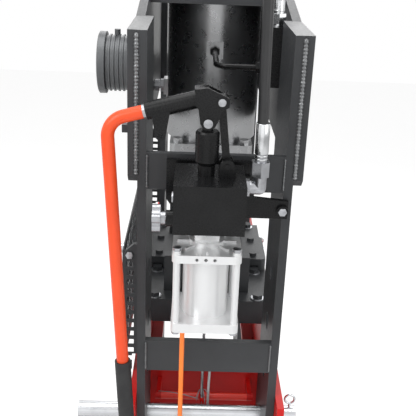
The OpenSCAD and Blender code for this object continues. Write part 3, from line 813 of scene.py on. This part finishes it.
class Dial:
    """The gauge's white face with ticks and generic numbers.

    The face's size, the ticks' widths and the numbers' size are in metres, the rest in millimetres
    and degrees.
    """

    FACE_RADIUS, FACE_DEPTH, FACE_SIDES = 0.0538, 0.0005, 96
    LONG_WIDTH, SHORT_WIDTH = 0.00055, 0.0003
    NUMBER_SIZE, NUMBER_DEPTH = 0.0105, 0.0001
    CENTRE_Z = 1422
    FACE_Y, MARK_Y = -218.3, -218.7
    TICKS, NUMBERS = 51, 6
    TICK_END, LONG_TICK, SHORT_TICK = 48, 38, 43
    NUMBER_RADIUS = 29
    FIRST, SWEEP = 225, 270

    def at(self, radius: float, turned: float) -> Vector:
        """Returns a point in metres at a radius, turned by degrees from the first tick."""
        a = math.radians(self.FIRST - turned)
        return mm(radius * math.cos(a), self.MARK_Y, self.CENTRE_Z + radius * math.sin(a))

    def tick(self, k: int) -> bpy.types.Object:
        """Returns one tick. Every fifth is longer and thicker."""
        fifth = k % 5 == 0
        inner = self.LONG_TICK if fifth else self.SHORT_TICK
        width = self.LONG_WIDTH if fifth else self.SHORT_WIDTH
        turned = self.SWEEP * k / (self.TICKS - 1)
        return Maker.tube([self.at(inner, turned), self.at(self.TICK_END, turned)], width, 1)

    def number(self, k: int) -> bpy.types.Object:
        """Returns one number as a mesh."""
        data = bpy.data.curves.new("digits", "FONT")
        data.body = str(k * 10)
        data.size = self.NUMBER_SIZE
        data.extrude = self.NUMBER_DEPTH
        data.align_x = "CENTER"
        data.align_y = "CENTER"
        text = bpy.data.objects.new("digits", data)
        bpy.context.collection.objects.link(text)
        text.location = self.at(self.NUMBER_RADIUS, self.SWEEP / (self.NUMBERS - 1) * k)
        text.rotation_euler = (math.pi / 2, 0, 0)
        Maker.start()
        text.select_set(True)
        bpy.context.view_layer.objects.active = text
        bpy.ops.object.convert(target="MESH")
        return bpy.context.view_layer.objects.active

    def build(self) -> None:
        """Makes the face, ticks and numbers."""
        centre = mm(0, self.FACE_Y, self.CENTRE_Z)
        face = Maker.round(centre, Axis.Y, self.FACE_RADIUS, self.FACE_DEPTH, self.FACE_SIDES, 0)
        Maker.done(face, "dial_face", "dial_white", "frame", None)
        marks = [self.tick(k) for k in range(self.TICKS)]
        marks += [self.number(k) for k in range(self.NUMBERS)]
        Maker.done(Maker.join(marks), "dial_marks", "needle_black", "frame", None)


@dataclass(frozen=True)
class Fastener:
    """One small round or hexagon piece.

    Args:
        name: the piece's name, before its number.
        at: its centre, in millimetres.
        axis: the axis that it stands along.
        radius: its radius, in millimetres.
        depth: its depth, in millimetres.
        body: the CAD body that carries it.
        sides: 6 for a hexagon, more for a round one.
    """

    name: str
    at: Point
    axis: Axis
    radius: float
    depth: float
    body: str
    sides: int = 6


class Fasteners:
    """Small screws, washers and plugs that the photograph shows. All sizes are in millimetres."""

    MOTOR_X, MOTOR_Y, MOTOR_ROD = 509.5, -11, 43
    TABLE_X = (-185, -68, 68, 185)
    TABLE_Y = (-105, 105)

    def pieces(self) -> list[Fastener]:
        """Returns all the pieces, in the order in which they are numbered."""
        found: list[Fastener] = []
        rod = self.MOTOR_ROD
        for dx, dy in ((-rod, -rod), (-rod, rod), (rod, -rod), (rod, rod)):
            x = self.MOTOR_X + dx
            y = self.MOTOR_Y + dy
            found.append(Fastener("motor_nut", (x, y, 1262), Axis.Z, 7, 5, "frame"))
            found.append(Fastener("base_nut", (x, y, 1125.5), Axis.Z, 7, 4, "frame"))
        for x in self.TABLE_X:
            for y in self.TABLE_Y:
                found.append(Fastener("table_washer", (x, y, 987), Axis.Z, 14, 2, "bed", 40))
        found.append(Fastener("front_plug", (552, -62, 1340), Axis.Y, 8.5, 3, "frame"))
        found.append(Fastener("arm_bolt", (460, 105, 1286), Axis.X, 7, 4, "frame"))
        for sx in (-1, 1):
            found.append(Fastener("guard_pin_nut", (sx * 390.5, -137, 1172), Axis.X, 7, 3, "guard"))
        found.append(Fastener("pin_link_cap", (531.5, 2, 1471), Axis.X, 5.5, 2, "rocker", 32))
        found.append(Fastener("pin_plunger_cap", (531.5, -16, 1441), Axis.X, 6.5, 2, "rocker", 32))
        return found

    def build(self) -> None:
        """Makes each piece on the body that carries it."""
        for k, p in enumerate(self.pieces()):
            disc = Maker.round(mm(*p.at), p.axis, p.radius / MM_PER_M, p.depth / MM_PER_M, p.sides)
            Maker.done(disc, f"{p.name}_{k}", "fitting_steel", p.body)


# Stage.


@dataclass(frozen=True)
class Lamp:
    """One soft square light.

    Args:
        name: its name.
        at: its place, in metres.
        to: the point that it is aimed at.
        size: its side, in metres.
        power: its power, in watts.
    """

    name: str
    at: Point
    to: Point
    size: float
    power: float


class Stage:
    """Floor, white surround, soft studio lights and the camera."""

    LENS = 63.0
    SENSOR = 36.0
    NEAR = 0.01
    PLACE = (1500.0, -36.0, 1700.0)
    PITCH, YAW, ROLL = 21.54, 1.43, 2.3
    FLOOR_SIZE = 14
    FLOOR_PALE = (0.86, 0.9)
    FLOOR_GLOW, FLOOR_GLOW_SHARE = 1.42, 0.5
    SURROUND_LIGHT = 0.5
    LAMPS = (
        Lamp("key", (2.4, -2.2, 3.2), (0.3, 0, 1.3), 2.2, 70),
        Lamp("fill", (2.2, 2.4, 2.2), (0.3, 0, 1.2), 2.4, 32),
        Lamp("low", (2.9, -0.3, 0.9), (0.4, 0, 1.0), 2.4, 7),
        Lamp("top", (0.2, 0, 3.6), (0.2, 0, 1.0), 2.0, 42),
        Lamp("back", (-2.6, 0.4, 2.6), (0, 0, 1.2), 2.0, 26),
    )

    def floor(self) -> None:
        """Makes the pale floor. A share of it glows for the camera, and the rest takes the shadow."""
        Maker.start()
        bpy.ops.mesh.primitive_plane_add(size=self.FLOOR_SIZE, location=(0, 0, 0))
        obj = bpy.context.view_layer.objects.active
        obj.name = "floor"
        mat = bpy.data.materials.new("floor_pale")
        mat.use_nodes = True
        nodes = mat.node_tree.nodes
        links = mat.node_tree.links
        shader = nodes["Principled BSDF"]
        shader.inputs["Roughness"].default_value = 0.75
        where = nodes.new("ShaderNodeTexCoord")
        noise = nodes.new("ShaderNodeTexNoise")
        ramp = nodes.new("ShaderNodeMapRange")
        noise.inputs["Scale"].default_value = 3.0
        ramp.inputs["To Min"].default_value = self.FLOOR_PALE[0]
        ramp.inputs["To Max"].default_value = self.FLOOR_PALE[1]
        links.new(where.outputs["Object"], noise.inputs["Vector"])
        links.new(noise.outputs["Fac"], ramp.inputs["Value"])
        links.new(ramp.outputs["Result"], shader.inputs["Base Color"])
        path = nodes.new("ShaderNodeLightPath")
        share = nodes.new("ShaderNodeMath")
        share.operation = "MULTIPLY"
        share.inputs[1].default_value = self.FLOOR_GLOW_SHARE
        white = nodes.new("ShaderNodeEmission")
        mix = nodes.new("ShaderNodeMixShader")
        white.inputs["Strength"].default_value = self.FLOOR_GLOW
        links.new(path.outputs["Is Camera Ray"], share.inputs[0])
        links.new(share.outputs[0], mix.inputs["Fac"])
        links.new(shader.outputs[0], mix.inputs[1])
        links.new(white.outputs[0], mix.inputs[2])
        links.new(mix.outputs[0], nodes["Material Output"].inputs["Surface"])
        obj.data.materials.append(mat)

    def world(self) -> None:
        """Makes the surround: white where it is seen, softer where it lights."""
        world = bpy.data.worlds.new("studio")
        bpy.context.scene.world = world
        world.use_nodes = True
        nodes = world.node_tree.nodes
        links = world.node_tree.links
        seen = nodes["Background"]
        lit = nodes.new("ShaderNodeBackground")
        mix = nodes.new("ShaderNodeMixShader")
        seen.inputs["Color"].default_value = (1, 1, 1, 1)
        seen.inputs["Strength"].default_value = 1.0
        lit.inputs["Color"].default_value = (1, 1, 1, 1)
        lit.inputs["Strength"].default_value = self.SURROUND_LIGHT
        path = nodes.new("ShaderNodeLightPath")
        either = nodes.new("ShaderNodeMath")
        either.operation = "ADD"
        either.use_clamp = True
        mirror = nodes.new("ShaderNodeMath")
        mirror.operation = "MAXIMUM"
        links.new(path.outputs["Is Glossy Ray"], mirror.inputs[0])
        links.new(path.outputs["Is Transmission Ray"], mirror.inputs[1])
        links.new(path.outputs["Is Camera Ray"], either.inputs[0])
        links.new(mirror.outputs[0], either.inputs[1])
        links.new(either.outputs[0], mix.inputs["Fac"])
        links.new(lit.outputs[0], mix.inputs[1])
        links.new(seen.outputs[0], mix.inputs[2])
        links.new(mix.outputs[0], nodes["World Output"].inputs["Surface"])

    def light(self, lamp: Lamp) -> None:
        """Makes one light and aims it."""
        data = bpy.data.lights.new(lamp.name, "AREA")
        data.shape = "SQUARE"
        data.size = lamp.size
        data.energy = lamp.power
        obj = bpy.data.objects.new(lamp.name, data)
        obj.location = lamp.at
        obj.rotation_euler = (Vector(lamp.to) - Vector(lamp.at)).to_track_quat("-Z", "Y").to_euler()
        bpy.context.collection.objects.link(obj)

    def camera(self) -> None:
        """Places the camera at the photograph's viewing angle."""
        p, y, r = (math.radians(v) for v in (self.PITCH, self.YAW, self.ROLL))
        ahead = Vector((-math.cos(y) * math.cos(p), math.sin(y) * math.cos(p), -math.sin(p)))
        level = Vector((math.sin(y), math.cos(y), 0))
        upright = level.cross(ahead)
        right = level * math.cos(r) + upright * math.sin(r)
        up = upright * math.cos(r) - level * math.sin(r)
        turn = Matrix((right, up, -ahead)).transposed().to_4x4()
        data = bpy.data.cameras.new("photo")
        data.lens = self.LENS
        data.sensor_width = self.SENSOR
        data.clip_start = self.NEAR
        obj = bpy.data.objects.new("photo", data)
        obj.matrix_world = Matrix.Translation(mm(*self.PLACE)) @ turn
        bpy.context.collection.objects.link(obj)
        bpy.context.scene.camera = obj

    def build(self) -> None:
        """Makes the whole stage."""
        view = bpy.context.scene.view_settings
        view.view_transform = "Standard"
        view.look = "None"
        view.exposure = 0.0
        view.gamma = 1.0
        self.floor()
        self.world()
        for lamp in self.LAMPS:
            self.light(lamp)
        self.camera()


def paint_nodes() -> None:
    """Gives every CAD node the finish of its slot."""
    for part in frame["record"]["subparts"]:
        mesh = frame["nodes"][part["node"]].data
        mesh.materials.clear()
        mesh.materials.append(PALETTE.get(part["material_slot"]))


def main() -> None:
    """Builds the looks."""
    logging.basicConfig(level=logging.INFO)
    Stage().build()
    paint_nodes()
    makers: tuple[Callable[[], None], ...] = (
        AirLine().build, PressureHose().build, HandleBar().build, WireRope().build, Bails().build,
        Welds().build, Dial().build, Fasteners().build,
    )
    for make in makers:
        make()
        log.info("made %s", make.__qualname__)


if __name__ == "__main__":
    main()
